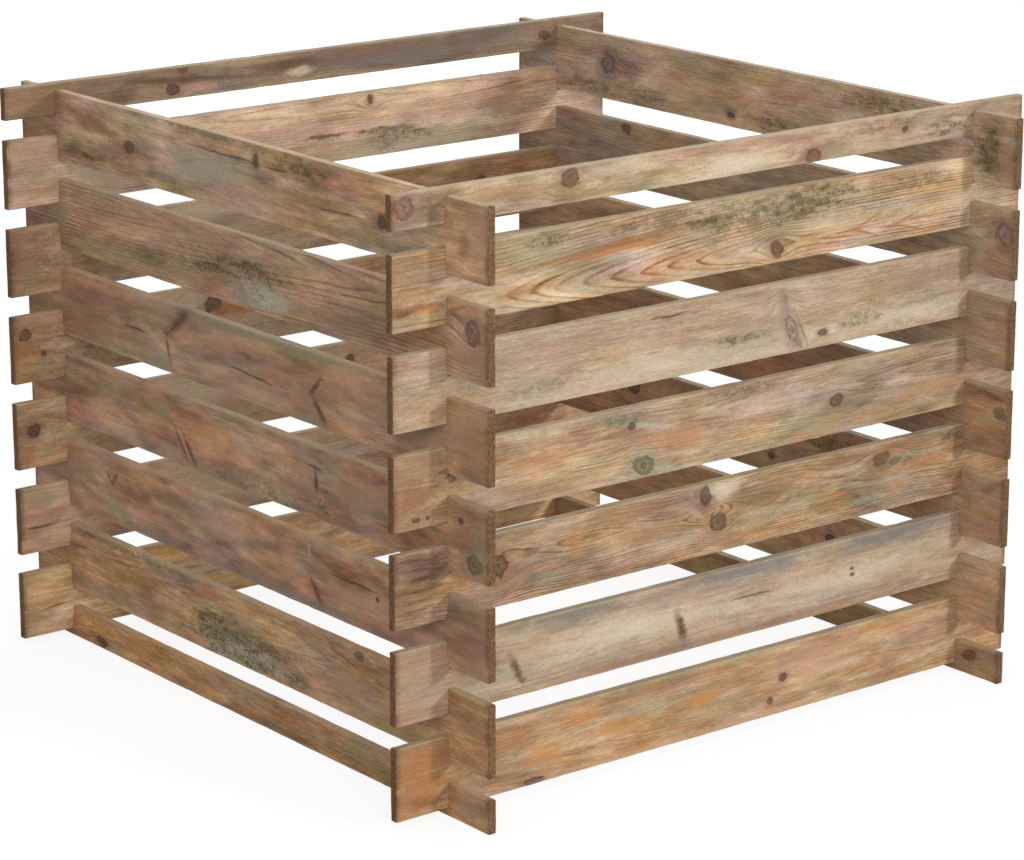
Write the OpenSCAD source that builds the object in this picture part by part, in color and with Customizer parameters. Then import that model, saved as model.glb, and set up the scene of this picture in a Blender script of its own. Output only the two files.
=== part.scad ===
// Slatted wooden composter: notched boards that plug together crosswise, with no fasteners.
// X runs along the front wall, Y from front to back, Z is up.
// The origin is the middle of the square footprint, on the ground.

/* [Boards] */
// Length of every board, end to end
board_length = 990; // [700:10:1200]
// Height of a full board
board_height = 90; // [84:1:110]
// Thickness of every board
board_thickness = 11; // [9:1:14]
// Height of the half boards that start and finish the stack
half_height = 42; // [40:1:50]
// Bevel along the long edges of every board
edge_bevel = 1.5; // [0.5:0.25:2.5]

/* [Corner joints] */
// Depth of each notch
notch_depth = 16; // [12:1:18]
// Distance from a board's end to the middle of its notch
tab_length = 81.5; // [60:0.5:100]
// Gap on each side of a board that sits in a notch
notch_gap = 0.5; // [0.25:0.05:1]

/* [Stack] */
// Full boards in each wall
full_boards = 6; // [2:1:8]

/* [Hidden] */
// From the origin to the middle plane of each wall
wall_offset = board_length / 2 - tab_length;
// Rise from one course to the crossing course that sits on it
course_rise = board_height - 2 * notch_depth;
// Rise from one board to the next in the same wall
wall_pitch = 2 * course_rise;
// Height of the front and back walls' lowest boards above the ground
front_start = half_height - 2 * notch_depth;
// How far a cutting block reaches past the face that it cuts
overcut = 5;

// Wood tones of the four walls and of the half boards
front_tone = [0.72, 0.60, 0.47];
back_tone = [0.62, 0.48, 0.34];
left_tone = [0.53, 0.42, 0.34];
right_tone = [0.50, 0.38, 0.28];
half_tone = [0.66, 0.52, 0.40];

function board_name(wall, k) = str(wall, "_board_", k);

// Heights of the undersides, counting boards from 1 at the bottom
function front_level(k) = front_start + (k - 1) * wall_pitch;
function side_level(k) = front_level(k) + course_rise;

// Cross-section of a board, bevelled along its four long edges, standing on its lower edge
module board_section(height) {
    half = board_thickness / 2;
    polygon([
        [-half + edge_bevel, 0], [half - edge_bevel, 0],
        [half, edge_bevel], [half, height - edge_bevel],
        [half - edge_bevel, height], [-half + edge_bevel, height],
        [-half, height - edge_bevel], [-half, edge_bevel]
    ]);
}

// Block that cuts one notch, down from the plane z = 0
module notch_block() {
    width = board_thickness + 2 * notch_gap;
    translate([-width / 2, -board_thickness, -notch_depth])
        cube([width, 2 * board_thickness, notch_depth + overcut]);
}

// A board along X, standing on z = 0 with its middle at the origin.
// It has a pair of notches in its upper edge, its lower edge or both.
module board(height, upper_notches, lower_notches) {
    difference() {
        rotate([90, 0, 90])
            linear_extrude(board_length, center = true)
                board_section(height);
        for (side = [-1, 1]) {
            if (upper_notches)
                translate([side * wall_offset, 0, height])
                    notch_block();
            if (lower_notches)
                translate([side * wall_offset, 0, 0])
                    mirror([0, 0, 1])
                        notch_block();
        }
    }
}

// Places a board in the front wall (side = -1) or the back wall (side = 1)
module along_x(side, level) {
    translate([0, side * wall_offset, level])
        children();
}

// Places a board in the left wall (side = -1) or the right wall (side = 1)
module along_y(side, level) {
    translate([side * wall_offset, 0, level])
        rotate([0, 0, 90])
            children();
}

// Half boards on the ground, under the left and right walls
module base_board(side) {
    color(half_tone)
        along_y(side, 0)
            board(half_height, true, false);
}

// Full boards of the front and back walls
module long_wall_board(side, k, tone) {
    color(tone)
        along_x(side, front_level(k))
            board(board_height, true, true);
}

// Full boards of the left and right walls, half a pitch higher than the front's and back's
module side_wall_board(side, k, tone) {
    color(tone)
        along_y(side, side_level(k))
            board(board_height, true, true);
}

// Half boards that finish the front and back walls
module top_board(side) {
    color(half_tone)
        along_x(side, front_level(full_boards + 1))
            board(half_height, false, true);
}

base_board(-1);  // left_base_board
base_board(1);  // right_base_board
for (k = [1 : full_boards]) {
    long_wall_board(-1, k, front_tone);
    long_wall_board(1, k, back_tone);
    side_wall_board(-1, k, left_tone);
    side_wall_board(1, k, right_tone);
}
top_board(-1);  // front_top_board
top_board(1);  // back_top_board
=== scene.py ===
"""Slatted wooden composter: notched pine boards that plug together crosswise at the corners."""

import math
from types import SimpleNamespace

import bmesh
import bpy
from mathutils import Matrix, Vector, noise


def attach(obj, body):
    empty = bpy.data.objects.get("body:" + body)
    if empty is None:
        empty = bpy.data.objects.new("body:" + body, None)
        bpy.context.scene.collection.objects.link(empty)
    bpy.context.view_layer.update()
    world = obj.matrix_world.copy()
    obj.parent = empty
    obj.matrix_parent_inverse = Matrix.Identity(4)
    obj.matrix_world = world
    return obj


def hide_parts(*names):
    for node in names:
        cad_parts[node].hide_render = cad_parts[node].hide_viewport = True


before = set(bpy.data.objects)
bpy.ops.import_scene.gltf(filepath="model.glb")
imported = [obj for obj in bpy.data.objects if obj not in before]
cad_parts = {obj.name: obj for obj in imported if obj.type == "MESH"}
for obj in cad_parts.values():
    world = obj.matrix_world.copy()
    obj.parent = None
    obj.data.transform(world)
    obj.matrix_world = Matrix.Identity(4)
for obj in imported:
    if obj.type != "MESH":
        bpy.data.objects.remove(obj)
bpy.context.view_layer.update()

# Board sizes in metres, as in the construction
LENGTH = 0.990
THICK = 0.011
HEIGHT = 0.090
HALF_HEIGHT = 0.042
NOTCH_DEPTH = 0.016
NOTCH_WIDTH = 0.012
WALL = 0.4135
RISE = 0.058
FRONT_START = 0.010
FULL_BOARDS = 6
MM = 0.001

# Rounding of the arrises, and how far from an edge wear counts as wear of that edge
ARRIS = 0.0013
WORN_EDGE = 0.0016

# Cuts that give a board its points: spacing and reach along it in millimetres, and shares of its height
CUT_SPACING = 12
CUT_REACH = 486
CUT_SHARES = (0.05, 0.27, 0.5, 0.73, 0.95)

# Greatest bow of a board, and of the waves in it
BOW = 0.0006

# Strength of the marks that all boards share, and how far knots push the grain, in half widths
KNOT_STRENGTH = 0.85
KNOT_BULGE = 0.5
CRACK_STRENGTH = 0.8
EDGE_GREY = 0.3
# Strength of the darkening towards the ends and of the dirt and painted shade in the joints
JOINT_AND_END_DARKENING = 0.35
MOTTLE_SEED_STEP = 7.3

# Brightness of the even light from all sides, and of the floor near the object and far away
STUDIO_LIGHT = 0.224
FLOOR_GLOW_NEAR = 1.09
FLOOR_GLOW_FAR = 1.23

# The softboxes are aimed at this height. The camera's place is in metres, its angles in degrees
OBJECT_MIDDLE = 0.37
CAMERA_PLACE = (-2.789, -3.542, 1.571)
CAMERA_DOWN = 15.72
CAMERA_TURN = -38.27
CAMERA_LENS = 126.7

# Tones of weathered pine, as sRGB
TONES = {
    "cream": (220, 203, 176),
    "pale_pine": (196, 172, 146),
    "straw": (200, 173, 134),
    "pink_tan": (194, 166, 138),
    "tan": (186, 155, 121),
    "drab_tan": (176, 144, 112),
    "honey": (194, 154, 111),
    "amber": (188, 138, 94),
    "orange": (184, 118, 66),
    "rust": (150, 92, 56),
    "brown_line": (150, 116, 84),
    "red_brown": (146, 98, 70),
    "mauve": (172, 138, 116),
    "buff": (180, 148, 114),
    "mauve_buff": (176, 143, 114),
    "brown": (150, 114, 80),
    "dark_brown": (98, 70, 48),
    "heart": (90, 62, 50),
    "purple": (128, 98, 90),
    "pink": (200, 158, 136),
    "knot_brown": (98, 72, 54),
    "knot_green": (108, 96, 72),
    "bright_orange": (206, 144, 84),
    "mauve_grey": (160, 138, 122),
    "dark_green": (84, 82, 60),
    "mould_haze": (132, 120, 84),
    "grey_green": (150, 148, 120),
    "olive": (160, 146, 98),
    "pale_grey": (184, 174, 156),
    # worn_edge_and_highlight: greyed wear on the arrises, also used for the painted highlight along the top
    # arris
    "worn_edge_and_highlight": (192, 172, 142),
    "grey": (148, 136, 120),
    "blue_grey": (122, 118, 114),
    "mould": (84, 68, 40),
    # crack: dark of knot rims, and the painted shade in drying cracks
    "crack": (62, 44, 34),
    "end_grain": (108, 80, 54),
}


def tone(name):
    """A named tone as linear colour."""
    def linear(part):
        part /= 255
        return part / 12.92 if part <= 0.04045 else ((part + 0.055) / 1.055) ** 2.4
    return (*(linear(part) for part in TONES[name]), 1.0)


class Value:
    """The value of a socket in a shader tree. It takes part in sums like a number."""

    def __init__(self, bench, socket):
        self.bench = bench
        self.socket = socket

    def __add__(self, other):
        return self.bench.calc("ADD", self, other)

    def __sub__(self, other):
        return self.bench.calc("SUBTRACT", self, other)

    def __mul__(self, other):
        return self.bench.calc("MULTIPLY", self, other)

    def __truediv__(self, other):
        return self.bench.calc("DIVIDE", self, other)

    def __pow__(self, other):
        return self.bench.calc("POWER", self, other)

    def __abs__(self):
        return self.bench.calc("ABSOLUTE", self)

    def times(self, factor, plus):
        return self.bench.calc("MULTIPLY_ADD", self, factor, plus)

    def ease(self, start, end, first=0.0, last=1.0):
        """Goes softly from the first result to the last one between start and end."""
        return self.bench.run("ShaderNodeMapRange", (self, start, end, first, last),
                              interpolation_type="SMOOTHSTEP")


class Bench:
    """Lays out the nodes of one shader tree and joins them."""

    def __init__(self, tree):
        self.tree = tree

    def place(self, kind, **settings):
        node = self.tree.nodes.new(kind)
        for name, value in settings.items():
            setattr(node, name, value)
        return node

    def feed(self, socket, value):
        if isinstance(value, Value):
            self.tree.links.new(value.socket, socket)
        elif value is not None:
            socket.default_value = value

    def read(self, kind, name):
        """One named output of a new node."""
        return Value(self, self.place(kind).outputs[name])

    def show(self, kind, shader):
        """Joins a shader to the output of the whole tree."""
        self.feed(self.place(kind).inputs["Surface"], Value(self, shader.outputs[0]))

    def run(self, kind, parts, **settings):
        """A node with its inputs fed in order. Gives its first output."""
        node = self.place(kind, **settings)
        for socket, part in zip(node.inputs, parts):
            self.feed(socket, part)
        return Value(self, node.outputs[0])

    def calc(self, operation, *parts, clamp=False):
        return self.run("ShaderNodeMath", parts, operation=operation, use_clamp=clamp)

    def point(self, operation, first, second):
        return self.run("ShaderNodeVectorMath", (first, second), operation=operation)

    def join(self, x, y, z):
        return self.run("ShaderNodeCombineXYZ", (x, y, z))

    def split(self, point):
        node = self.place("ShaderNodeSeparateXYZ")
        self.feed(node.inputs[0], point)
        return [Value(self, socket) for socket in node.outputs]

    def mix(self, amount, first, second, blend="MIX"):
        node = self.place("ShaderNodeMix", data_type="RGBA", blend_type=blend)
        for number, value in ((0, amount), (6, first), (7, second)):
            self.feed(node.inputs[number], value)
        return Value(self, node.outputs[2])

    def shaded(self, colour, shade, amount=1.0):
        """A colour made darker or lighter by one factor."""
        return self.mix(amount, colour, self.join(shade, shade, shade), "MULTIPLY")

    def clouds(self, at, scale=None, detail=2.0, rough=0.5, start=None, colour=False):
        """Soft noise at a point that is first stretched by the scale and then moved by the start."""
        if scale is not None:
            at = self.point("MULTIPLY", at, scale)
        if start is not None:
            at = self.point("ADD", at, start)
        node = self.place("ShaderNodeTexNoise")
        for name, value in (("Vector", at), ("Scale", 1.0), ("Detail", detail), ("Roughness", rough)):
            self.feed(node.inputs[name], value)
        return Value(self, node.outputs["Color" if colour else "Fac"])

    def group(self, name, **values):
        """One of the groups below. Gives its outputs by name."""
        node = self.place("ShaderNodeGroup", node_tree=bpy.data.node_groups[name])
        for key, value in values.items():
            self.feed(node.inputs[key.replace("_", " ")], value)
        return self.by_name(node.outputs)

    def by_name(self, sockets):
        return SimpleNamespace(**{socket.name.lower().replace(" ", "_"): Value(self, socket)
                                  for socket in sockets if socket.name})

    def give(self, **results):
        """Feeds the results to the outputs of the group that this bench makes."""
        for key, value in results.items():
            self.feed(self.tree.nodes["Group Output"].inputs[key.replace("_", " ")], value)


def start_group(name, inputs, outputs):
    """A new shader node group: its bench and its inputs by name."""
    kinds = {"value": "NodeSocketFloat", "point": "NodeSocketVector", "tone": "NodeSocketColor"}
    tree = bpy.data.node_groups.new(name, "ShaderNodeTree")
    for direction, sockets in (("INPUT", inputs), ("OUTPUT", outputs)):
        for line in sockets.split(", "):
            kind, socket_name = line.split(" ", 1)
            tree.interface.new_socket(name=socket_name, in_out=direction, socket_type=kinds[kind])
    bench = Bench(tree)
    bench.place("NodeGroupOutput").name = "Group Output"
    return bench, bench.by_name(bench.place("NodeGroupInput").outputs)


# Inputs that say where a stain, knot, crack or patch of mould lies on a board, and how large it is
PATCH = "point Board point, value Along, value Up, value Turn, value Length, value Width, "


def spot(bench, taken):
    """Place of a board point in a patch's own turned axes, from its middle: along it, across it and up."""
    x, _, z = bench.split(taken.board_point)
    side = x - taken.along
    rise = z - taken.up
    cosine = bench.calc("COSINE", taken.turn)
    sine = bench.calc("SINE", taken.turn)
    return side * cosine + rise * sine, rise * cosine - side * sine, rise


def oval(bench, along, across, length, width):
    """Distance from a patch's middle in half lengths and half widths: 1 at the rim of its oval."""
    return bench.calc("SQRT", (along / length) ** 2.0 + (across / width) ** 2.0)


def make_bend_group():
    """Bends the grain round a knot: apart above and below it, and in rings about it."""
    bench, taken = start_group("grain_round_knot", PATCH + "point Grain point, value Bulge",
                               "point Grain point")
    along, across, rise = spot(bench, taken)
    distance = ((along / taken.length.times(1.9, 0.010)) ** 2.0
                + (across / taken.width.times(1.5, 0.006)) ** 2.0)
    near = bench.calc("EXPONENT", distance * -1.0)
    shift = bench.join(0.0, near * taken.bulge, rise * near * -0.85)
    bench.give(Grain_point=bench.point("ADD", taken.grain_point, shift))


def make_rings_group():
    """Growth rings about a pith line that bends once, cut by the board's faces."""
    bench, taken = start_group(
        "growth_rings",
        "point Grain point, value Bend, value Pith height, value Pith depth, value Lean left, "
        "value Lean right, value Reach, value Ring width, value Sway, value Contrast, value Sharpness, "
        "tone Early, tone Late, value Seed",
        "tone Colour, value Height, value Radius")
    grain = taken.grain_point
    x, y, z = bench.split(grain)
    offset = x - taken.bend
    left = bench.calc("MAXIMUM", bench.calc("MINIMUM", offset, 0.0), taken.reach * -1.0)
    right = bench.calc("MINIMUM", bench.calc("MAXIMUM", offset, 0.0), taken.reach)
    depth = taken.pith_depth + (left * taken.lean_left + right * taken.lean_right)
    seeded = bench.join(taken.seed, 0.0, 0.0)
    wander = bench.split(bench.clouds(grain, (5.0, 12.0, 20.0), 1.0, start=seeded, colour=True))
    up = (wander[0] - 0.5).times(taken.sway, z - taken.pith_height)
    through = (wander[1] - 0.5).times(taken.sway, y - depth)
    # A power below 2 gives the pointed flames of a log that isn't round
    radius = (abs(up) ** 1.6 + abs(through) ** 1.6) ** 0.625
    count = radius / taken.ring_width
    good_years = bench.clouds(bench.join(count * 0.37, taken.seed, 0.0), detail=1.0)
    ragged = bench.clouds(grain, (30.0, 100.0, 170.0), 3.0, 0.65)
    count = (good_years - 0.5).times(1.2, count)
    count = (ragged - 0.5).times(0.6, count)
    part = bench.calc("FRACT", count)
    luck = bench.place("ShaderNodeTexWhiteNoise", noise_dimensions="2D")
    bench.feed(luck.inputs["Vector"], bench.join(bench.calc("FLOOR", count), taken.seed, 0.0))
    year = Value(bench, luck.outputs["Value"])
    summer = part.ease(taken.sharpness.times(0.65, 0.05), 0.88)
    autumn = part.ease(0.91, 0.995, 1.0, 0.0)
    patchy = bench.clouds(grain, (9.0, 30.0, 40.0))
    late = summer * autumn * year.times(0.8, 0.4) * patchy.ease(0.3, 0.65, 0.35, 1.25)
    amount = bench.calc("MULTIPLY", late, taken.contrast, clamp=True)
    depth_of_tone = bench.clouds(grain, (13.0, 30.0, 90.0)).ease(0.35, 0.65, 0.55, 1.1)
    colour = bench.mix(amount, taken.early, bench.shaded(taken.late, depth_of_tone))
    colour = bench.shaded(colour, year.ease(0.0, 1.0, 0.88, 1.05), 0.7)
    bench.give(Colour=colour, Height=late, Radius=radius)


def make_fibre_group():
    """Raised fibres of sawn, weathered wood: streaks along the rings, thin lines, short fur and pores."""
    bench, taken = start_group(
        "fibres", "tone Colour, value Height, point Grain point, value Radius, value Amount, value Seed",
        "tone Colour, value Height")
    grain = taken.grain_point
    x = bench.split(grain)[0]
    seeded = bench.join(taken.seed, 0.0, 0.0)
    ring_streaks = bench.clouds(bench.join(x * 15.0, taken.radius * 700.0, taken.seed), rough=0.6)
    lines = bench.clouds(grain, (26.0, 260.0, 400.0), 3.0, 0.6, seeded)
    fur = bench.clouds(grain, (75.0, 300.0, 400.0), 3.0, 0.75, seeded)
    pores = bench.clouds(grain, (70.0, 500.0, 800.0), 2.0, 0.7)
    total = ring_streaks.ease(0.32, 0.68, -0.7, 0.6) + fur.ease(0.34, 0.66, -1.1, 1.0)
    total = total + lines.ease(0.50, 0.66, 0.35, -1.4)
    total = total + pores.ease(0.35, 0.65, 0.7, -0.9)
    bright = total.times(taken.amount, 1.0)
    warm = total.times(taken.amount * 1.25, 1.0)
    bench.give(Colour=bench.mix(1.0, taken.colour, bench.join(bright, bright, warm), "MULTIPLY"),
               Height=total.times(0.35, taken.height))


def make_drift_group():
    """Slow changes along a board: lighter and darker, warmer and cooler, greener and pinker."""
    bench, taken = start_group(
        "slow_drift", "tone Colour, point Board point, value Amount, value Seed, tone Tint", "tone Colour")
    wide = bench.split(bench.clouds(taken.board_point, (7.0, 14.0, 24.0),
                                    start=bench.join(taken.seed, 1.7, 0.0), colour=True))
    narrow = bench.split(bench.clouds(taken.board_point, (20.0, 30.0, 75.0), 2.0, 0.55,
                                      bench.join(taken.seed, 4.2, 0.0), True))
    # Share of the narrow pattern in each change, and the middle value of both together
    light, warm, green = ((slim.times(share, broad) - middle) * taken.amount for slim, broad, share, middle
                          in zip(narrow, wide, (0.9, 0.4, 0.4), (0.95, 0.70, 0.70)))
    drift = bench.join(light + warm.times(0.30, 1.0), light + green.times(0.36, 1.0),
                       light + warm.times(-0.60, 1.0))
    drift = bench.mix(1.0, drift, taken.tint, "MULTIPLY")
    bench.give(Colour=bench.mix(1.0, taken.colour, drift, "MULTIPLY"))


def make_mottle_group():
    """Soft mottling towards one tone all over a board."""
    bench, taken = start_group(
        "mottle",
        "tone Colour, point Board point, tone Tone, value Amount, value Length, value Width, value Seed",
        "tone Colour")
    x, y, z = bench.split(taken.board_point)
    at = bench.join(x / taken.length + taken.seed, y * 40.0, z / taken.width)
    mask = bench.clouds(at, detail=3.0).ease(0.42, 0.66)
    bench.give(Colour=bench.mix(mask * taken.amount, taken.colour, taken.tone))


def make_patch_group():
    """The uneven patterns that break up the edges of stains, knots and mould."""
    bench, taken = start_group(
        "patch_noise", "point Board point, value Seed",
        "value Ragged, value Wobble, value Blotch, value Speck, value Dot")
    at = bench.point("ADD", taken.board_point, bench.join(taken.seed, 0.0, 0.0))
    bench.give(Ragged=bench.clouds(at, (26.0, 70.0, 90.0), 4.0, 0.65),
               Wobble=bench.clouds(at, (75.0, 40.0, 75.0), 3.0, 0.65),
               Blotch=bench.clouds(at, (95.0, 90.0, 150.0), 4.0, 0.70),
               Speck=bench.clouds(at, (210.0, 300.0, 280.0), 3.0, 0.70),
               Dot=bench.clouds(at, (330.0, 300.0, 380.0), 2.0, 0.60))


def make_stain_group():
    """One soft stain with a ragged edge, drawn out along the grain."""
    bench, taken = start_group(
        "stain", PATCH + "tone Colour, value Cloud, value Fine, tone Tone, value Amount", "tone Colour")
    along, across, _ = spot(bench, taken)
    shape = oval(bench, along, across, taken.length, taken.width)
    shape = (taken.cloud - 0.5).times(1.9, shape)
    shape = (taken.fine - 0.5).times(0.9, shape)
    mask = shape.ease(0.15, 1.25, 1.0, 0.0)
    bench.give(Colour=bench.mix(mask * taken.amount, taken.colour, taken.tone))


def make_knot_group():
    """A knot: broken dark rim, blotchy heart with ring lines and a dark middle, and a flush round it."""
    bench, taken = start_group(
        "knot", PATCH + "tone Colour, value Height, value Wobble, value Blotch, tone Heart, tone Rim, "
        "tone Flush, value Strength", "tone Colour, value Height")
    along, across, _ = spot(bench, taken)
    blotch = taken.blotch
    distance = oval(bench, along, across, taken.length, taken.width)
    distance = (taken.wobble - 0.5).times(1.5, distance)
    distance = (blotch - 0.5).times(0.6, distance)
    inside = distance.ease(0.65, 1.25, 1.0, 0.0)
    rim = abs(distance - 0.92).ease(0.02, 0.30, 1.0, 0.0) * blotch.ease(0.36, 0.56, 0.3, 1.0)
    flush = distance.ease(0.8, 2.6, 1.0, 0.0) * blotch.ease(0.3, 0.6, 0.35, 0.65)
    rings = bench.calc("SINE", distance * 13.0).ease(-0.2, 0.9, 1.22, 0.68)
    middle = blotch.times(0.5, distance).ease(0.38, 0.72, 0.55, 1.0)
    heart = bench.shaded(taken.heart, rings * middle * blotch.ease(0.35, 0.65, 0.8, 1.4))
    colour = bench.mix(flush * taken.strength, taken.colour, taken.flush)
    colour = bench.mix(inside * (taken.strength * 0.85), colour, heart)
    colour = bench.mix(rim * (taken.strength * 0.9), colour, taken.rim)
    sunk = rim * -1.6 * taken.strength
    bench.give(Colour=colour, Height=taken.height + sunk)


def make_crack_group():
    """A drying crack: a thin line of painted shade that wanders and tapers to both ends, with a soft darker
    fringe and a sunken bump.
    """
    bench, taken = start_group("crack", PATCH + "tone Colour, value Height, tone Tone, value Amount",
                               "tone Colour, value Height")
    along, across, _ = spot(bench, taken)
    wander = bench.clouds(taken.board_point, (40.0, 20.0, 40.0), 3.0)
    reach = abs(along / taken.length)
    width = taken.width.times(reach.ease(0.2, 1.0, 1.0, 0.0), 0.0001)
    away = abs((wander - 0.5).times(0.007, across)) / width
    # The dark line is painted shade in the crack; shade darkens the wood softly beside it
    line = away.ease(0.35, 1.0, 1.0, 0.0) * reach.ease(0.92, 1.0, 1.0, 0.0)
    shade = away.ease(0.5, 4.0, 0.35, 0.0) * reach.ease(0.7, 1.1, 1.0, 0.0)
    dark = bench.calc("MAXIMUM", line, shade) * taken.amount
    bench.give(Colour=bench.mix(dark, taken.colour, taken.tone), Height=line.times(-2.6, taken.height))


def make_mould_group():
    """Mould: a cloudy olive grey patch with soft dark smudges, small specks and pale smears."""
    bench, taken = start_group(
        "mould", PATCH + "tone Colour, value Ragged, value Blotch, value Speck, value Dot, value Density, "
        "value Haze, value Flecks, tone Speck tone, tone Haze tone, tone Fleck tone", "tone Colour")
    along, across, _ = spot(bench, taken)
    shape = (taken.ragged - 0.5).times(2.6, oval(bench, along, across, taken.length, taken.width))
    patch = shape.ease(0.0, 1.4, 1.0, 0.0)
    haze = bench.calc("MULTIPLY", patch, taken.haze * taken.blotch.ease(0.34, 0.62, 0.25, 1.0), clamp=True)
    colour = bench.mix(haze, taken.colour, taken.haze_tone)
    denser = (patch - 0.5) * (taken.density * 0.22)
    smudge = (taken.blotch + denser).ease(0.40, 0.80) * 0.50
    speck = (taken.speck + denser).ease(0.48, 0.76) * 0.40
    dark = bench.calc("MULTIPLY", smudge + speck, patch.ease(0.0, 0.6), clamp=True)
    colour = bench.mix(dark, colour, taken.speck_tone)
    smear = taken.ragged.times(0.7, taken.dot).ease(0.82, 1.02)
    pale = bench.calc("MULTIPLY", patch * smear, taken.flecks, clamp=True)
    bench.give(Colour=bench.mix(pale, colour, taken.fleck_tone))


def make_weather_group():
    """Weather and handling: greyed edges, a painted highlight along the top arris, dirt and painted shade in
    the joints, dark end grain, saw marks and roughness.
    """
    bench, taken = start_group(
        "weathering_and_painted_light",
        "tone Colour, value Height, point Board point, value Board height, tone Edge tone, "
        "value Edge amount, tone End tone, tone Dirt tone, value Damp, value Seed",
        "tone Colour, value Height, value Roughness")
    point = taken.board_point
    x, _, z = bench.split(point)
    patches = bench.clouds(point, (14.0, 60.0, 40.0), 4.0, 0.6, bench.join(taken.seed, 0.0, 0.0))
    fine = bench.clouds(point, (240.0, 300.0, 300.0))
    below_top = taken.board_height - z
    edge = bench.calc("MAXIMUM", z.ease(0.0, 0.006, 1.0, 0.0), below_top.ease(0.0, 0.006, 1.0, 0.0))
    edge = edge * patches.ease(0.35, 0.65, 0.25, 1.0) * taken.edge_amount
    # Painted highlight: a lighter line along the top arris only, in the tone of the worn edges
    painted_top_highlight = below_top.ease(0.0004, 0.0024, 1.0, 0.0) * patches.ease(0.35, 0.60, 0.25, 0.75)
    colour = bench.mix(bench.calc("MAXIMUM", edge, painted_top_highlight), taken.colour, taken.edge_tone)
    far = abs(x)
    # Dirt and painted shade in the joints: darker brown near the crossings, in the dirt tone and scaled by
    # the Damp input
    joint_dirt_and_shade = abs(far - WALL).ease(0.004, 0.026, 1.0, 0.0) * patches.ease(0.40, 0.62, 0.25, 1.0)
    damp = (patches - 0.5).times(0.05, far).ease(0.45, 0.51)
    colour = bench.mix(bench.calc("MAXIMUM", joint_dirt_and_shade, damp) * taken.damp, colour, taken.dirt_tone)
    fringe = far.ease(0.4850, 0.4945) * patches.ease(0.38, 0.60, 0.1, 0.75)
    colour = bench.mix(fringe, colour, taken.end_tone)
    end = (fine - 0.5).times(0.0012, far).ease(0.4934, 0.4944)
    end_shade = bench.clouds(point, (20.0, 420.0, 160.0), 4.0, 0.75).ease(0.34, 0.66, 0.35, 1.7)
    colour = bench.mix(end * 0.88, colour, bench.shaded(taken.end_tone, end_shade))
    colour = bench.shaded(colour, fine.ease(0.30, 0.62, 0.90, 1.03), 0.8)
    saw = bench.calc("SINE", patches.times(14.0, z.times(260.0, x * 1900.0)))
    height = fine.times(0.9, saw.times(0.10, taken.height))
    bench.give(Colour=colour, Height=height, Roughness=end.times(0.08, patches.times(0.16, 0.78)))


for make in (make_bend_group, make_rings_group, make_fibre_group, make_drift_group, make_patch_group,
             make_mottle_group, make_stain_group, make_knot_group, make_crack_group, make_mould_group,
             make_weather_group):
    make()

# Knots by kind: heart, rim and flush
KNOT_TONES = {
    "ring": ("knot_brown", "crack", "brown_line"),
    "red": ("knot_brown", "heart", "red_brown"),
    "dark": ("heart", "crack", "purple"),
    "green": ("knot_green", "dark_green", "grey_green"),
    "purple": ("purple", "heart", "mauve_grey"),
    "blue": ("blue_grey", "heart", "purple"),
    "scar": ("mauve_grey", "dark_brown", "mauve_grey"),
}

# How each board looks. Lengths are in millimetres, from the board's middle and from its lower edge.
# early and late: tones of spring and summer wood. ring: width of a year. sway: how far the rings wander.
# pith: where it bends, its height, and its depth behind the seen face. lean: its slope to each side, as far
# as reach. fibre and drift: strength of the fibres and of the slow changes. tint: factors on the whole board.
# The tables hold one mark after the other, in layers from below:
# mottle: tone, amount in percent, length, width
# stains: tone, amount in percent, along, up, half length, half width, turn in degrees where it has one
# knots: kind, along, up, half length, half width, turn
# cracks: along, up, half length, half width, turn
# mould: along, up, half length, half width, density, haze, flecks
FRONT_MOTTLE = "amber 25 90 18, grey_green 25 110 28, cream 35 60 10, brown 30 60 8"
SIDE_MOTTLE = "amber 30 90 22, purple 30 100 24, grey_green 28 90 18, tan 35 60 10"
PLAIN = dict(
    tint=(1, 1, 1), early="tan", late="brown_line", ring=3.6, contrast=0.6, sharp=0.7, sway=6,
    pith=(0, 45, 40), lean=(0.02, -0.02), reach=400, fibre=0.075, drift=1.1, mottle=FRONT_MOTTLE, knots="",
    cracks="", stains="", mould="")

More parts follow.
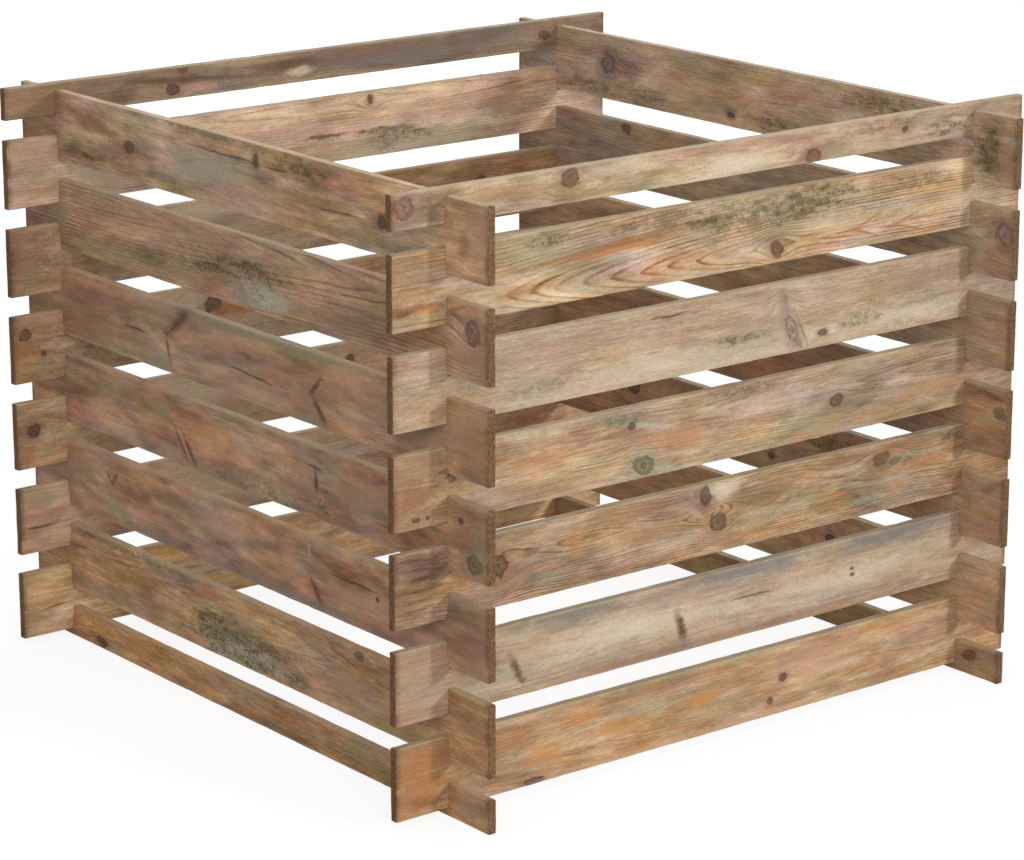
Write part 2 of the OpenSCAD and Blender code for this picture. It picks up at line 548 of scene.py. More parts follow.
LOOKS = dict(
    front_top_board=dict(
        tint=(0.94, 0.95, 0.97), early="pink_tan", ring=4.2, sway=9, pith=(-240, 20, 18), lean=(-0.03, 0.05),
        mottle="cream 50 90 20, olive 25 90 16, pink 35 70 14, brown 30 60 6",
        knots="purple -478 25 14 12, ring -241 30 13 10 10, red 137 7 13 8, dark 289 22 5 3.5",
        stains="""dark_brown 60 -462 20 60 40, heart 75 -478 26 18 14, dark_brown 50 -450 22 34 5,
            purple 60 -437 16 14 9, purple 50 120 8 22 8 20, cream 70 10 12 100 16, cream 40 -150 32 90 9,
            pink 45 225 34 60 9, olive 50 289 21 18 9, grey_green 40 175 10 34 10, brown 35 -330 20 70 9,
            brown 30 60 36 90 5""",
        mould="369 18 44 18 1.2 0.8 0.1, 240 30 60 9 0.2 0.3 0"),
    front_board_6=dict(
        tint=(0.97, 0.93, 0.94), early="straw", late="rust", ring=4, contrast=1.3, sharp=0.75, sway=2.5,
        pith=(10, 20, 14), lean=(-0.097, -0.042), reach=345,
        mottle="cream 50 90 18, olive 30 90 26, amber 25 90 12", knots="ring 81 17 10 9",
        stains="""dark_brown 45 -466 24 44 12, brown 60 -462 50 44 60, orange 75 -152 54 150 7 4,
            rust 75 -215 54 130 3.5 4, rust 60 -120 64 110 2.5 3, grey_green 55 -290 70 100 26,
            dark_brown 80 -478 22 20 6, rust 70 -460 26 44 5, bright_orange 75 -446 19 20 6,
            rust 45 -317 22 22 6, orange 55 212 23 14 6, rust 80 230 31 26 1.8 18, rust 80 230 16 26 1.8 -16,
            rust 70 304 28 24 1.6 16, rust 70 304 13 24 1.6 -14, rust 60 205 23 12 3, orange 45 285 20 12 5,
            brown_line 45 81 17 22 14, grey_green 35 60 70 150 24, cream 25 400 34 60 34,
            cream 35 180 30 60 12, amber 35 -60 30 70 9""",
        mould="""70 66 175 30 0.7 0.9 0.2, -45 66 50 7 1.3 0.8 0, 150 68 70 18 1 0.5 0.1,
            -262 77 44 14 1 0.6 0, -120 78 80 12 0.6 0.5 0, 330 72 60 14 0.5 0.4 0"""),
    front_board_5=dict(
        tint=(0.91, 0.92, 0.91), early="pink_tan", ring=2.6, pith=(0, -60, 50), lean=(0.03, -0.02),
        fibre=0.095, drift=0.55, mottle="pale_grey 30 110 24, amber 20 90 16, cream 35 70 9, mauve 35 90 12",
        knots="scar 107 30 16 8 -62, dark 158 18 7 3.5", cracks="-90 76 34 1 1",
        stains="""cream 45 -60 16 420 20, cream 45 300 20 160 14, grey_green 50 -292 22 40 16,
            grey_green 35 30 16 70 12, purple 40 40 84 50 9, mauve 40 -250 70 160 16,
            brown_line 40 330 62 140 22, mauve_grey 95 108 28 36 15 -66, mauve_grey 80 92 62 28 8 -68,
            dark_brown 60 125 24 32 2.5 -64, dark_brown 50 120 8 12 6 -66, purple 50 96 66 12 5 -66""",
        mould="28 31 62 8 1 0.6 0.1, 220 22 40 12 0.6 0.5 0, -280 20 60 10 0.1 0.4 0"),
    front_board_4=dict(
        tint=(0.88, 0.88, 0.88), early="pink_tan", late="red_brown", ring=3.4, sway=9, pith=(-60, 60, 26),
        lean=(0.03, -0.05), fibre=0.085,
        mottle="amber 30 100 16, olive 28 90 24, cream 35 70 8, brown 30 70 12",
        knots="""dark -146 67 5 4.5, green -127 16 15 11 -20, ring 185 43 10 7, dark -412 54 7 7,
            dark -463 11 5 2.5, dark -447 11 2.5 2""",
        stains="""brown 75 -462 45 60 60, grey_green 95 -170 77 70 9 -14, pale_grey 85 -105 60 50 5 -12,
            amber 70 -70 40 62 18, bright_orange 35 -290 48 90 12, brown 40 -300 16 110 14,
            olive 60 165 13 34 11, amber 50 330 32 100 14 -2, grey_green 70 -90 8 30 6 -12,
            grey_green 60 -120 26 26 6 20, pale_grey 50 -95 6 30 5 -10, red_brown 50 -470 36 30 22,
            cream 35 90 60 110 16, olive 30 330 42 30 14""",
        mould="30 80 90 12 0.6 0.7 0.3, -160 78 60 10 0.5 0.6 0.2"),
    front_board_3=dict(
        tint=(0.9, 0.85, 0.85), late="dark_brown", ring=2.9, contrast=0.8, sway=20, pith=(-200, 55, 22),
        lean=(-0.05, 0.03), fibre=0.11, drift=1.4,
        mottle="amber 30 90 16, grey_green 30 90 24, pale_grey 35 60 10, brown 50 70 16",
        knots="""ring -346 49 15 12, dark -28 76 8 13, ring -6 38 14 10 -30, red 266 68 13 9,
            green 289 62 9 5""",
        stains="""dark_brown 35 -462 45 60 60, dark_brown 50 -462 62 44 30, dark_brown 35 -480 30 24 30,
            heart 80 -470 80 40 3 -5, heart 80 -462 68 40 2.5 -4, heart 80 -458 56 36 3 -3,
            dark_brown 80 -466 42 40 2.5, dark_brown 70 -470 30 30 2 2, dark_brown 60 -460 20 30 2 2,
            cream 60 8 76 28 14 20, cream 60 -40 54 18 6 -30, brown 50 266 66 34 16, brown 40 -340 40 60 30,
            orange 60 -232 57 18 20, cream 70 -12 80 24 12, purple 45 -40 58 26 14, amber 40 -130 50 60 18,
            orange 45 178 36 40 6, orange 55 335 52 70 9, brown 60 240 80 160 12, dark_brown 30 200 80 60 8,
            brown 50 -160 78 90 14, brown 40 60 60 60 14, dark_brown 35 400 22 40 22, cream 35 100 34 60 10,
            pale_grey 35 -80 24 70 12""",
        mould="387 80 26 10 1.4 0.8 0, 300 60 60 10 0.3 0.4 0"),
    front_board_2=dict(
        tint=(0.84, 0.8, 0.77), early="pale_pine", ring=4.2, contrast=0.3, pith=(0, 40, 60), fibre=0.05,
        drift=0.6, mottle="pink 35 120 24, pale_grey 35 90 16, cream 35 70 14",
        knots="dark 219 50 3 2, dark 220 42 3 2", cracks="50 49 38 0.9",
        # The blue_grey bands along the top and the brown band along the bottom are weathered grey together
        # with painted shading of a cupped board
        stains="""brown_line 40 -462 45 50 60, cream 60 -150 46 190 22, cream 50 180 40 180 24,
            blue_grey 75 -240 86 100 20, blue_grey 75 40 86 130 20, blue_grey 85 300 86 120 22,
            brown 70 0 2 460 12, dark_brown 85 -318 33 27 6.5 -62, pale_grey 50 -300 76 18 5 60,
            dark_brown 95 -63 30 27 8 -72, purple 60 315 12 26 9, blue_grey 50 -60 8 50 8,
            purple 40 100 6 60 6"""),
    front_board_1=dict(
        tint=(1, 1.01, 0.98), early="honey", late="rust", ring=3.2, contrast=0.4, sway=12, pith=(-40, 30, 22),
        lean=(-0.06, 0.04), drift=0.9,
        mottle="orange 25 80 22, pink 40 90 20, cream 35 60 10, brown 45 70 14",
        knots="dark 105 46 6 5, ring 84 19 5 5, dark -292 4 13 4",
        stains="""brown 65 -462 45 60 60, orange 65 -462 45 60 60, bright_orange 75 -279 36 34 16,
            bright_orange 50 -216 67 40 14, bright_orange 60 -165 44 34 12, bright_orange 60 -25 48 34 12,
            orange 45 -330 66 50 14, straw 60 -240 46 26 9, straw 50 -20 30 60 10, brown 40 -100 80 120 10,
            red_brown 45 66 28 26 9, grey_green 50 0 90 460 7, dark_brown 35 -450 16 30 10,
            brown 40 -340 20 60 12, pink 50 150 60 100 26, straw 50 0 4 400 6"""),
    left_board_6=dict(
        tint=(1.39, 1.34, 1.41), early="buff", late="brown", ring=3.8, contrast=0.5, sway=9, pith=(0, 44, 30),
        drift=1.5, mottle="grey_green 30 110 28, mauve 35 90 22, straw 30 70 12",
        knots="red 236 42 10 8, dark -44 69 6 8, dark -298 39 8 7",
        cracks="26 67 96 0.9 1, -90 66 30 0.9 -2, -208 35 60 1",
        stains="""drab_tan 55 -466 45 50 60, pale_grey 80 55 42 80 26, straw 40 -20 40 60 14,
            grey 70 195 46 44 12, purple 60 250 36 60 14, red_brown 70 330 62 110 12 10, pink 75 -10 20 70 16,
            red_brown 50 -452 40 12 20, dark_brown 50 -290 36 36 16, brown 60 -170 40 90 12,
            dark_brown 40 -220 14 140 10, dark_brown 40 -440 86 40 6, brown 40 440 40 60 40""",
        mould="-137 76 66 14 1.3 1 0.1, 343 17 64 11 1.5 0.5 0, 60 86 160 6 0.2 0.4 0.1"),
    left_board_5=dict(
        tint=(1.19, 1.175, 1.2), early="mauve_buff", late="dark_brown", ring=4.6, contrast=0.8, sharp=0.8,
        sway=4, pith=(0, 74, 22), lean=(-0.05, -0.05), reach=300, drift=1.24,
        mottle="mauve 40 100 28, amber 30 90 14, grey_green 25 80 14", knots="purple -467 58 12 14",
        stains="""drab_tan 55 -466 24 44 26, purple 40 -466 56 30 20, pale_grey 95 -60 22 64 17,
            cream 90 -70 22 40 13, olive 50 250 16 190 18, mauve 35 150 70 200 20, grey 65 405 46 20 20,
            brown 50 -230 20 110 18, dark_brown 35 -240 42 90 6""",
        mould="""-6 51 120 15 1.5 0.8 0, -40 27 66 16 0.4 0.4 3, 56 36 56 14 1.5 0.5 0.3,
            190 26 130 12 0.2 0.3 0"""),
    left_board_4=dict(
        tint=(1.18, 1.17, 1.15), early="mauve_buff", late="brown", ring=3.4, contrast=0.35, pith=(0, -20, 40),
        fibre=0.03, drift=1.42, mottle="purple 30 120 26, amber 30 100 18, mauve 35 90 18",
        cracks="233 42 34 1.1, -28 34 56 1.1 3",
        stains="""grey_green 80 -60 87 220 12, brown 65 340 24 150 30, brown 40 -200 52 120 16,
            purple 45 330 60 120 18, brown 50 -165 36 34 26, brown 50 -466 45 44 60,
            dark_brown 100 -163 49 20 5 -46, dark_brown 90 -170 20 26 7 48, brown 50 134 66 44 22 -38,
            dark_brown 75 132 69 38 10 -38, heart 60 138 64 34 3 -38, dark_brown 70 157 32 26 4 78,
            grey_green 70 -140 5 34 9, grey_green 70 175 9 30 11, pink 40 -40 20 90 18,
            drab_tan 30 -466 60 40 34, dark_brown 45 -474 8 40 14, amber 35 60 56 80 12"""),
    left_board_3=dict(
        tint=(1.12, 1.05, 1.05), early="mauve_buff", late="brown", contrast=0.4, pith=(0, 100, 30),
        fibre=0.045, drift=1.58, mottle="mauve 40 100 24, amber 35 90 18, grey_green 25 80 14",
        knots="green -470 20 13 11, dark -444 66 4 4", cracks="-160 46 19 1.4 86, -158 64 20 1.1",
        stains="""dark_brown 40 -466 50 44 60, red_brown 40 -440 60 30 26, grey_green 70 178 62 26 11,
            pink 70 298 43 16 10, dark_brown 75 113 22 30 4.5 52, dark_brown 65 133 28 30 4 52,
            pink 50 124 24 26 3 52, orange 35 100 58 70 16, purple 75 400 42 80 10 -8,
            mauve 50 -260 50 110 22, grey_green 50 -480 30 18 30, brown 40 260 70 110 12,
            cream 35 -60 12 90 10, dark_brown 50 -160 46 22 5 84""",
        mould="-180 20 24 24 0.9 1 0.3, -40 10 90 12 0.3 0.5 0.4"),
    left_board_2=dict(
        tint=(1.09, 1.08, 1.09), early="mauve_buff", late="brown", contrast=0.35, pith=(0, -30, 36),
        fibre=0.035, drift=1.58, mottle="purple 30 100 22, amber 30 90 18, pink 40 70 18",
        knots="dark -282 46 3 3", cracks="-235 54 60 1.2",
        stains="""brown 45 -466 45 44 60, blue_grey 65 -140 6 200 13, blue_grey 65 200 8 90 12,
            dark_brown 85 -157 23 22 5.5 52, cream 60 -143 72 16 2.5 88, dark_brown 85 294 60 14 4.5 -52,
            dark_brown 80 307 60 12 4 50, brown 45 300 60 30 20, pink 70 -282 45 16 10,
            grey_green 70 292 21 34 15, pink 60 30 60 70 18, pink 40 -230 30 60 16, brown 45 400 50 70 44,
            mauve_grey 40 160 66 60 14"""),
    left_board_1=dict(
        tint=(1.26, 1.19, 1.13), early="buff", late="red_brown", ring=3.2, contrast=0.7, sway=7,
        pith=(-60, 60, 22), lean=(-0.05, 0.03), fibre=0.095, drift=1.5,
        mottle="amber 30 90 14, pink 35 80 14, olive 35 90 18", knots="green -244 81 9 6",
        stains="""orange 75 76 76 44 10, dark_brown 35 270 52 160 14, red_brown 40 180 66 90 10,
            pink 50 -230 40 100 18, olive 50 -280 12 140 14, brown 35 -466 45 44 60,
            pale_grey 50 20 18 100 18, dark_brown 40 -195 74 14 6 30, olive 40 300 14 130 12""",
        mould="""8 33 130 24 1.2 0.8 0.3, 6 14 112 18 0.6 0.8 3.5, 70 44 40 10 1.2 0.4 0,
            240 84 140 7 0.4 0.5 0"""),
    left_base_board=dict(
        tint=(1.28, 1.28, 1.28), early="amber", late="dark_brown", ring=3.4, pith=(0, -10, 24), fibre=0.11,
        drift=1.66, mottle="olive 35 90 18, brown 40 90 14, tan 40 70 9", knots="dark 338 9 12 6",
        stains="""pale_grey 45 -466 20 40 30, olive 60 -250 26 60 16 20, bright_orange 35 -100 24 90 14,
            dark_brown 40 -60 8 110 8, dark_brown 30 120 26 140 12, pale_grey 60 305 10 20 9,
            straw 40 0 34 90 6"""),
    right_board_6=dict(
        tint=(1.44, 1.47, 1.54), early="mauve_buff", late="brown", contrast=0.45, pith=(0, 30, 50),
        mottle="mauve 40 90 24, olive 28 90 20, pale_grey 35 70 14",
        knots="blue 294 51 14 13, dark 34 16 7 4",
        stains="""dark_brown 50 -462 45 50 60, purple 55 250 50 40 16, grey_green 50 60 24 60 14,
            blue_grey 45 294 50 26 24, dark_green 50 35 18 18 12, olive 50 100 70 60 14,
            grey_green 50 -89 25 20 12, pink 40 160 40 60 14, pink 25 -472 50 14 40""",
        mould="""-448 50 32 50 1.5 1 0.15, -60 18 60 12 0.8 0.6 0.1, 290 16 130 12 0.5 0.5 0,
            -250 72 90 14 0.9 0.6 0.1"""),
    right_board_5=dict(
        tint=(0.99, 1.08, 1.22), early="buff", late="brown", mottle=SIDE_MOTTLE,
        knots="dark -120 30 9 8, ring 60 62 8 6, ring 251 80 9 7, blue -480 56 15 13 20",
        stains="""grey_green 75 -450 57 12 12, dark_brown 50 -479 41 16 8, red_brown 50 -464 70 10 8,
            pale_grey 40 -440 30 14 14"""),
    right_board_4=dict(
        tint=(1.08, 1.08, 1.12), early="buff", late="dark_brown", contrast=0.45, sway=12, mottle=SIDE_MOTTLE,
        knots="ring -210 58 11 8, dark 190 24 7 7", cracks="40 44 60 1"),
    right_board_3=dict(
        tint=(0.97, 0.92, 0.93), early="mauve_buff", late="brown", mottle=SIDE_MOTTLE,
        knots="red 80 40 10 7, dark -260 70 6 5, green -484 58 10 8",
        stains="red_brown 70 -452 19 18 11, olive 60 -460 46 34 10, dark_brown 60 -460 80 40 5 8"),
    right_board_2=dict(
        tint=(1.04, 0.99, 0.97), early="buff", late="brown", ring=2.4, mottle=SIDE_MOTTLE,
        knots="ring 230 60 12 9, dark -60 24 7 5",
        stains="dark_brown 50 -478 78 30 9 -20, orange 35 -460 40 30 20, red_brown 40 -431 47 12 14",
        mould="-200 66 110 14 0.8 0.7 0.2"),
    right_board_1=dict(
        tint=(1.32, 1.27, 1.24), late="rust", contrast=0.35, mottle=SIDE_MOTTLE,
        knots="dark -180 50 9 8, ring 130 26 9 7", cracks="240 62 50 1 1",
        stains="orange 35 -455 46 20 18, olive 40 -480 40 12 14"),
    right_base_board=dict(
        tint=(0.93, 1.1, 1.2), early="amber", late="rust", mottle=SIDE_MOTTLE,
        knots="ring 150 22 9 6, red -445 27 12 7 -20"),
    back_top_board=dict(
        tint=(0.68, 0.76, 0.71), early="mauve", late="brown", contrast=0.45, pith=(0, 30, 30),
        mottle="grey 45 110 16, pink 35 90 12", knots="red -225 40 10 6, red 385 20 9 6, dark -241 13 9 8",
        stains="""brown 62 -462 22 60 30, purple 75 100 24 300 14, dark_brown 75 -230 24 120 6 -4,
            dark_brown 60 -325 14 24 16, dark_brown 70 -56 25 50 10, cream 80 -38 15 24 8,
            straw 50 -120 37 90 6, blue_grey 60 130 16 150 12, pink 50 -200 12 34 8,
            mauve_grey 50 380 22 90 14"""),
    back_board_6=dict(
        tint=(1.38, 1.44, 1.62), early="pink_tan", late="brown", ring=4, contrast=0.65, pith=(100, 78, 12),
        lean=(-0.03, 0.03), mottle="pink 50 110 22, straw 30 90 14, brown 25 90 12", knots="dark 79 79 4 6",
        stains="""cream 75 -355 30 60 34, pink 35 -200 50 200 30, pink 40 200 60 160 20,
            olive 55 90 16 260 20, cream 65 130 12 130 14, brown 35 330 50 60 30, tan 70 -455 50 50 60,
            orange 50 285 14 14 8, orange 45 -450 21 26 5""",
        mould="20 36 70 4 1.5 0.6 0, 115 32 70 9 1.2 0.6 0.2, 120 18 60 12 0.3 0.4 0.6"),
    back_board_5=dict(
        tint=(0.87, 0.76, 0.65), early="mauve_buff", late="brown", knots="ring 270 56 10 8, dark 30 40 8 6",
        # cream -190 45 270 90 is painted light: a lighter stretch over the left part of the inner face
        stains="""brown 60 -462 45 50 60, cream 75 -190 45 270 90, amber 50 -60 40 90 20,
            brown 50 -150 60 60 12, grey_green 50 -470 30 16 36, purple 50 -488 60 12 40"""),
    back_board_4=dict(
        tint=(0.93, 0.81, 0.7), late="red_brown",
        knots="ring -477 64 9 8, dark -450 36 3.5 3, red 160 50 9 7, red -186 62 13 10",
        # cream -190 45 270 90 is painted light: a lighter stretch over the left part of the inner face
        stains="""brown 50 -462 45 50 60, cream 75 -190 45 270 90, orange 90 -140 52 46 16,
            olive 50 -110 70 40 12 -20, dark_brown 50 -190 84 24 8, brown 40 -60 40 60 30,
            pink 70 -450 84 34 8 -8, grey_green 60 -452 18 12 12, orange 40 -470 40 20 14""",
        mould="320 70 90 12 0.7 0.7 0.2"),
    back_board_3=dict(
        tint=(0.96, 0.82, 0.72), early="pink_tan", late="brown",
        knots="ring 210 30 11 8, dark 40 66 6 5, dark -469 50 9 8",
        # cream -190 45 270 90 is painted light: a lighter stretch over the left part of the inner face
        stains="""cream 70 -190 45 270 90, amber 50 -140 40 90 20, olive 60 -444 22 22 10 50,
            dark_green 45 -474 52 20 16, orange 35 -480 16 16 10"""),
    back_board_2=dict(
        tint=(1.26, 1.14, 1.07), early="pink_tan", late="brown", contrast=0.4,
        knots="dark 120 52 8 7, ring -250 28 10 7", cracks="-465 35 30 1.1",
        # cream -190 45 270 90 is painted light: a lighter stretch over the left part of the inner face
        stains="cream 50 -190 45 270 90, olive 55 -460 76 40 14, pink 30 -460 40 40 20",
        mould="230 22 120 14 0.8 0.7 0.2"),
    back_board_1=dict(
        tint=(1.4, 1.32, 1.19), early="straw", contrast=0.45, knots="ring 300 48 11 9, dark -110 60 7 6",
        cracks="-447 37 26 0.9 6")
)


def marks(table):
    """The marks of a table as lists: a word stays a word, and all else is a number."""
    return [[part if part[0].isalpha() else float(part) for part in mark.split()]
            for mark in table.split(",") if mark]


def open_bench(owner):
    """A bench on the emptied shader tree of a material or a world."""
    owner.use_nodes = True
    owner.node_tree.nodes.clear()
    return Bench(owner.node_tree)


def board_wood(name, height, turn, shift, seen, seed):
    """The material of one board. Its pattern lies in the board's own axes: along, through and up."""
    look = SimpleNamespace(**{**PLAIN, **LOOKS[name]})
    material = bpy.data.materials.new(name + "_pine")
    bench = open_bench(material)
    mapping = bench.place("ShaderNodeMapping")
    mapping.inputs["Rotation"].default_value = (0.0, 0.0, turn)
    mapping.inputs["Location"].default_value = shift
    bench.feed(mapping.inputs["Vector"], bench.read("ShaderNodeTexCoord", "Object"))
    board_point = Value(bench, mapping.outputs[0])

    def patch(group, along, up, length, width, lean=0, **values):
        """Lays a group at one place on the board, given in millimetres and degrees."""
        return bench.group(group, Board_point=board_point, Along=along * MM, Up=up * MM, Length=length * MM,
                           Width=width * MM, Turn=math.radians(lean), **values)

    grain_point = board_point
    for _, along, up, length, width, *lean in marks(look.knots):
        grain_point = patch("grain_round_knot", along, up, length, width, *lean, Grain_point=grain_point,
                            Bulge=-seen * KNOT_BULGE * width * MM).grain_point
    bend, pith_height, pith_depth = look.pith
    rings = bench.group(
        "growth_rings", Grain_point=grain_point, Bend=bend * MM, Pith_height=pith_height * MM,
        Pith_depth=seen * (THICK / 2 - pith_depth * MM), Lean_left=-seen * look.lean[0],
        Lean_right=-seen * look.lean[1], Reach=look.reach * MM, Ring_width=look.ring * MM,
        Sway=look.sway * MM, Contrast=look.contrast, Sharpness=look.sharp, Early=tone(look.early),
        Late=tone(look.late), Seed=seed)
    colour = rings.colour
    for number, (tint, percent, length, width) in enumerate(marks(look.mottle)):
        colour = bench.group(
            "mottle", Colour=colour, Board_point=board_point, Tone=tone(tint), Amount=percent / 100,
            Length=length * MM, Width=width * MM, Seed=seed + MOTTLE_SEED_STEP * number).colour
    colour = bench.group("slow_drift", Colour=colour, Board_point=board_point, Amount=look.drift, Seed=seed,
                         Tint=(*look.tint, 1.0)).colour
    wood = bench.group("fibres", Colour=colour, Height=rings.height, Grain_point=grain_point,
                       Radius=rings.radius, Amount=look.fibre, Seed=seed)
    noises = bench.group("patch_noise", Board_point=board_point, Seed=seed)
    for tint, percent, *place in marks(look.stains):
        wood.colour = patch("stain", *place, Colour=wood.colour, Cloud=noises.ragged, Fine=noises.speck,
                            Tone=tone(tint), Amount=percent / 100).colour
    for kind, *place in marks(look.knots):
        heart, rim, flush = KNOT_TONES[kind]
        wood = patch("knot", *place, Colour=wood.colour, Height=wood.height, Wobble=noises.wobble,
                     Blotch=noises.blotch, Heart=tone(heart), Rim=tone(rim), Flush=tone(flush),
                     Strength=KNOT_STRENGTH)
    for place in marks(look.cracks):
        wood = patch("crack", *place, Colour=wood.colour, Height=wood.height, Tone=tone("crack"),
                     Amount=CRACK_STRENGTH)
    for *place, density, haze, flecks in marks(look.mould):
        wood.colour = patch(
            "mould", *place, Colour=wood.colour, Ragged=noises.ragged, Blotch=noises.blotch,
            Speck=noises.speck, Dot=noises.dot, Density=density, Haze=haze, Flecks=flecks,
            Speck_tone=tone("mould"), Haze_tone=tone("mould_haze"), Fleck_tone=tone("pale_grey")).colour
    weathered_and_lit = bench.group("weathering_and_painted_light", Colour=wood.colour, Height=wood.height, Board_point=board_point,
                       Board_height=height, Edge_tone=tone("worn_edge_and_highlight"), Edge_amount=EDGE_GREY,
                       End_tone=tone("end_grain"), Dirt_tone=tone("brown"), Damp=JOINT_AND_END_DARKENING, Seed=seed)

    surface = bench.place("ShaderNodeBsdfPrincipled")
    surface.inputs["Specular IOR Level"].default_value = 0.28
    bump = bench.place("ShaderNodeBump")
    bump.inputs["Strength"].default_value = 0.55
    bump.inputs["Distance"].default_value = 0.5 * MM
    bench.feed(bump.inputs["Height"], weathered_and_lit.height)
    bench.feed(surface.inputs["Base Color"], weathered_and_lit.colour)
    bench.feed(surface.inputs["Roughness"], weathered_and_lit.roughness)
    bench.feed(surface.inputs["Normal"], Value(bench, bump.outputs["Normal"]))
    bench.show("ShaderNodeOutputMaterial", surface)
    return material


def saw_board(height, upper_notches, lower_notches):
    """A board along X from its outline, notched, bevelled and cut into short lengths. It stands on z = 0."""
    mesh = bmesh.new()
    end = LENGTH / 2
    near = WALL - NOTCH_WIDTH / 2
    far = WALL + NOTCH_WIDTH / 2
    outline = []
    for side, notched, edge, cut in ((1, lower_notches, 0, NOTCH_DEPTH),
                                     (-1, upper_notches, height, height - NOTCH_DEPTH)):
        notches = [(-far, edge), (-far, cut), (-near, cut), (-near, edge),
                   (near, edge), (near, cut), (far, cut), (far, edge)]
        outline += [(side * x, z) for x, z in [(-end, edge), *(notches if notched else []), (end, edge)]]
    outline = mesh.faces.new([mesh.verts.new((x, -THICK / 2, z)) for x, z in outline])
    grown = bmesh.ops.extrude_face_region(mesh, geom=[outline])
    moved = [part for part in grown["geom"] if isinstance(part, bmesh.types.BMVert)]
    bmesh.ops.translate(mesh, verts=moved, vec=(0, THICK, 0))
    bmesh.ops.recalc_face_normals(mesh, faces=mesh.faces)

    def in_notch(edge):
        first, second = (abs(vert.co.x) for vert in edge.verts)
        return near - 1e-5 < first < far + 1e-5 and near - 1e-5 < second < far + 1e-5

    arrises = [edge for edge in mesh.edges if not in_notch(edge)]
    bmesh.ops.bevel(mesh, geom=arrises, offset=ARRIS, segments=3, profile=0.5, affect="EDGES", material=-1)

    def cut_across(place, normal):
        bmesh.ops.bisect_plane(mesh, geom=mesh.verts[:] + mesh.edges[:] + mesh.faces[:], plane_co=place,
                               plane_no=normal, dist=1e-6)

    for step in range(-CUT_REACH, CUT_REACH + 1, CUT_SPACING):
        x = step / 1000
        if min(abs(abs(x) - near), abs(abs(x) - far)) > 0.0015:
            cut_across((x, 0, 0), (1, 0, 0))
    for share in CUT_SHARES:
        cut_across((0, 0, height * share), (0, 0, 1))
    return mesh


def weather_shape(mesh, height, seed, bow):
    """Bows the board a little between its notches and wears its arrises and ends. Wear only goes inwards."""
    for vert in mesh.verts:
        x, y, z = vert.co
        free = max(0.0, 1 - (x / (WALL - 0.02)) ** 2)
        clear = min(1.0, abs(abs(x) - WALL) / 0.012 - 0.6)
        if clear > 0:
            worn = noise.noise(Vector((x * 42, y * 160 + seed * 3.1, z * 30 + seed)))
            chip = noise.noise(Vector((x * 85 + seed, y * 40, z * 12 - seed)))
            loss = 0.00035 * max(0.0, worn + 0.4) + 0.0020 * max(0.0, chip - 0.45)
            low_edge = z < WORN_EDGE
            high_edge = z > height - WORN_EDGE
            if low_edge:
                vert.co.z += clear * loss
            if high_edge:
                vert.co.z -= clear * loss
            if low_edge or high_edge:
                vert.co.y -= math.copysign(clear * loss * 0.5, y)
            if abs(x) > LENGTH / 2 - WORN_EDGE:
                fray = noise.noise(Vector((z * 90 + seed, y * 220, seed)))
                vert.co.x -= math.copysign(0.0006 * max(0.0, fray + 0.3), x)
        wave = noise.noise(Vector((x * 4.2 + seed * 1.7, z * 9, seed)))
        vert.co.y += free * (bow + BOW * wave)


def add_object(name, mesh, material):
    """An object at the origin from a finished mesh, with one material."""
    data = bpy.data.meshes.new(name)
    mesh.to_mesh(data)
    mesh.free()
    data.materials.append(material)
    thing = bpy.data.objects.new(name, data)
    bpy.context.scene.collection.objects.link(thing)
    return thing


def make_board(name, body, height, upper_notches, lower_notches, side_wall, wall, level, number):
    """One board: shaped on its own axes, put in its place in the mesh, and given its wood."""
    seed = 3.7 * number + 1.3
    mesh = saw_board(height, upper_notches, lower_notches)
    weather_shape(mesh, height, seed, BOW * math.sin(5.1 * number))
    for face in mesh.faces:
        face.smooth = max(abs(part) for part in face.normal) < 0.995
    if side_wall:
        bmesh.ops.rotate(mesh, verts=mesh.verts, cent=(0, 0, 0), matrix=Matrix.Rotation(math.pi / 2, 3, "Z"))
        bmesh.ops.translate(mesh, verts=mesh.verts, vec=(wall, 0, level))
        turn, shift, seen = -math.pi / 2, (0, wall, -level), 1
    else:
        bmesh.ops.translate(mesh, verts=mesh.verts, vec=(0, wall, level))
        turn, shift, seen = 0.0, (0, -wall, -level), -1
    board = add_object(name + "_dressed", mesh, board_wood(name, height, turn, shift, seen, seed))
    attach(board, body)
    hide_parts(name)


number = 0
for k in range(1, FULL_BOARDS + 1):
    long_level = FRONT_START + (k - 1) * 2 * RISE
    for wall_name, side_wall, wall, level in (
            ("front", False, -WALL, long_level), ("back", False, WALL, long_level),
            ("left", True, -WALL, long_level + RISE), ("right", True, WALL, long_level + RISE)):
        number += 1
        name = wall_name + "_board_" + str(k)
        make_board(name, name, HEIGHT, True, True, side_wall, wall, level, number)
for name, wall in (("left_base_board", -WALL), ("right_base_board", WALL)):
    number += 1
    make_board(name, "base", HALF_HEIGHT, True, False, True, wall, 0.0, number)
for name, wall in (("front_top_board", -WALL), ("back_top_board", WALL)):
    number += 1
    make_board(name, name, HALF_HEIGHT, False, True, False, wall, FRONT_START + FULL_BOARDS * 2 * RISE,
               number)


def seen_by_camera(bench):
    """1 for rays from the camera, also by way of a mirror or glass, and 0 for rays that light the object."""
    camera_ray, glossy_ray, glass_ray = (bench.read("ShaderNodeLightPath", "Is " + kind + " Ray")
                                         for kind in ("Camera", "Glossy", "Transmission"))
    return bench.calc("MAXIMUM", camera_ray, bench.calc("MAXIMUM", glossy_ray, glass_ray))


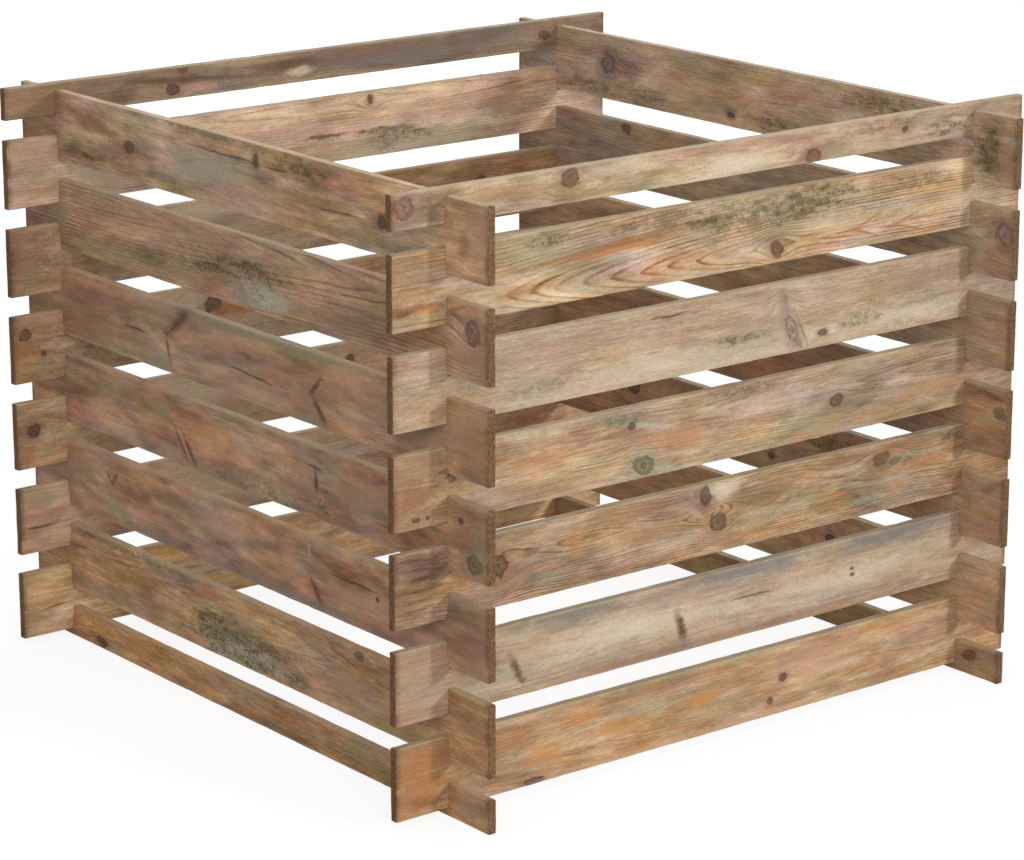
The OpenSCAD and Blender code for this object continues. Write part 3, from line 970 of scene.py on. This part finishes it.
def make_floor():
    """Pale floor that keeps a soft shadow and runs off to white."""
    material = bpy.data.materials.new("pale_floor")
    bench = open_bench(material)
    matt = bench.place("ShaderNodeBsdfDiffuse")
    glow = bench.place("ShaderNodeEmission")
    away = bench.place("ShaderNodeVectorMath", operation="LENGTH")
    bench.feed(away.inputs[0], bench.read("ShaderNodeTexCoord", "Object"))
    bench.feed(glow.inputs["Strength"],
               Value(bench, away.outputs["Value"]).ease(1.5, 7.0, FLOOR_GLOW_NEAR, FLOOR_GLOW_FAR))
    seen = seen_by_camera(bench)
    bench.feed(matt.inputs["Color"], bench.mix(seen, (0.6, 0.6, 0.6, 1.0), (0.96, 0.96, 0.96, 1.0)))
    blend = bench.place("ShaderNodeMixShader")
    bench.feed(blend.inputs[0], seen * 0.78)
    bench.feed(blend.inputs[1], Value(bench, matt.outputs[0]))
    bench.feed(blend.inputs[2], Value(bench, glow.outputs[0]))
    bench.show("ShaderNodeOutputMaterial", blend)
    mesh = bmesh.new()
    bmesh.ops.create_circle(mesh, cap_ends=True, segments=64, radius=40.0)
    floor = add_object("floor", mesh, material)


def make_world():
    """Even studio light from all sides, white where the camera looks past the floor."""
    world = bpy.data.worlds.new("studio")
    bench = open_bench(world)
    sky = bench.place("ShaderNodeBackground")
    sky.inputs["Color"].default_value = (1.0, 1.0, 1.0, 1.0)
    bench.feed(sky.inputs["Strength"], seen_by_camera(bench).times(1.0 - STUDIO_LIGHT, STUDIO_LIGHT))
    bench.show("ShaderNodeOutputWorld", sky)
    bpy.context.scene.world = world


def softbox(name, azimuth, elevation, distance, size, level):
    """A square softbox aimed at the object. Azimuth is from -Y towards +X; level 1 lights a colour as is."""
    data = bpy.data.lights.new(name, "AREA")
    data.shape = "SQUARE"
    data.size = size
    data.energy = level * math.pi ** 2 * distance ** 2
    lamp = bpy.data.objects.new(name, data)
    bpy.context.scene.collection.objects.link(lamp)
    azimuth, elevation = math.radians(azimuth), math.radians(elevation)
    direction = Vector((math.sin(azimuth) * math.cos(elevation), -math.cos(azimuth) * math.cos(elevation),
                        math.sin(elevation)))
    lamp.location = Vector((0, 0, OBJECT_MIDDLE)) + direction * distance
    lamp.rotation_euler = direction.to_track_quat("Z", "Y").to_euler()


make_floor()
make_world()
softbox("key_softbox", 14.4, 10.0, 8.0, 0.6, 0.36)
softbox("fill_softbox", -34.0, 25.0, 5.0, 2.4, 0.42)
softbox("top_softbox", 0.0, 90.0, 4.0, 3.0, 0.42)
softbox("back_softbox", 135.0, 18.0, 5.0, 2.4, 0.34)

camera_data = bpy.data.cameras.new("camera")
camera_data.sensor_width = 36.0
camera_data.lens = CAMERA_LENS
camera = bpy.data.objects.new("camera", camera_data)
bpy.context.scene.collection.objects.link(camera)
camera.location = CAMERA_PLACE
camera.rotation_euler = (math.radians(90 - CAMERA_DOWN), 0.0, math.radians(CAMERA_TURN))
bpy.context.scene.camera = camera
bpy.context.scene.view_settings.view_transform = "Standard"

bpy.context.view_layer.update()
